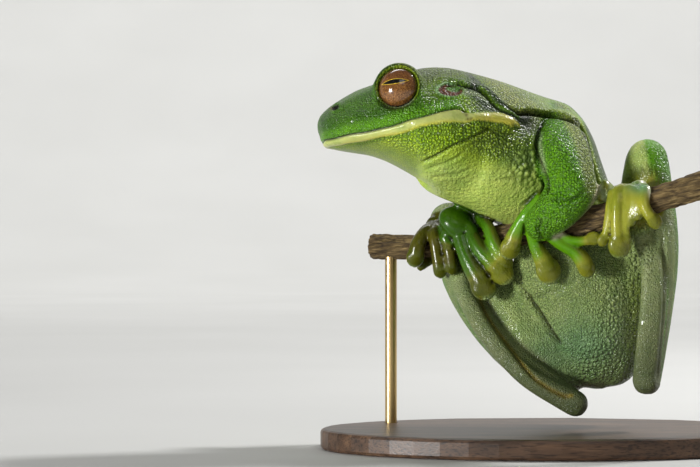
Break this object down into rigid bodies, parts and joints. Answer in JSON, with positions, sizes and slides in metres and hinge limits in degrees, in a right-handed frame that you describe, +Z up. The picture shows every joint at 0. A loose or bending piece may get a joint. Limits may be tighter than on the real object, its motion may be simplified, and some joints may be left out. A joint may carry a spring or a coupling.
{
  "type": "tree frog",
  "caption": "Life-size still model of a white-lipped tree frog that grips a cut length of branch, held by short rods over a flat oval base.",
  "frame": {"origin": "centre of the flat underside of the stand's oval base", "axes": "+Z up. The viewer stands at -Y and looks along +Y. The frog's head points to -X and its left side is nearest the viewer. The base's long axis lies along X."},
  "size_m": [0.1129, 0.07, 0.0934],
  "materials": {
    "green_skin": "moist, finely granular bright green frog skin",
    "white_lip": "moist cream and yellow-green skin of the lip and throat",
    "pale_skin": "moist pale grey-green skin, granular on the belly",
    "digit_skin": "smooth moist yellow-green skin of hands and feet",
    "eardrum": "thin taut brown skin",
    "eye": "wet, copper-brown iris with a level black slit pupil",
    "bark": "rough brown bark with sawn ends",
    "stand_wood": "satin dark wood",
    "stand_brass": "satin"
  },
  "bodies": {
    "root": {"head": "green_skin", "lower_jaw": "white_lip", "chest": "green_skin", "belly": "pale_skin", "eye_left": "eye", "eye_right": "eye", "eardrum_left": "eardrum", "eardrum_right": "eardrum", "upper_arm_left": "green_skin", "upper_arm_right": "green_skin", "forearm_left": "green_skin", "forearm_right": "green_skin", "hand_left": "digit_skin", "hand_right": "digit_skin", "thigh_left": "pale_skin", "thigh_right": "pale_skin", "shank_left": "pale_skin", "shank_right": "pale_skin", "tarsus_left": "pale_skin", "tarsus_right": "pale_skin", "foot_left": "digit_skin", "foot_right": "digit_skin", "perch": "bark", "stand_base": "stand_wood", "stand_rod_left": "stand_brass", "stand_rod_right": "stand_brass"}
  },
  "joints": []
}
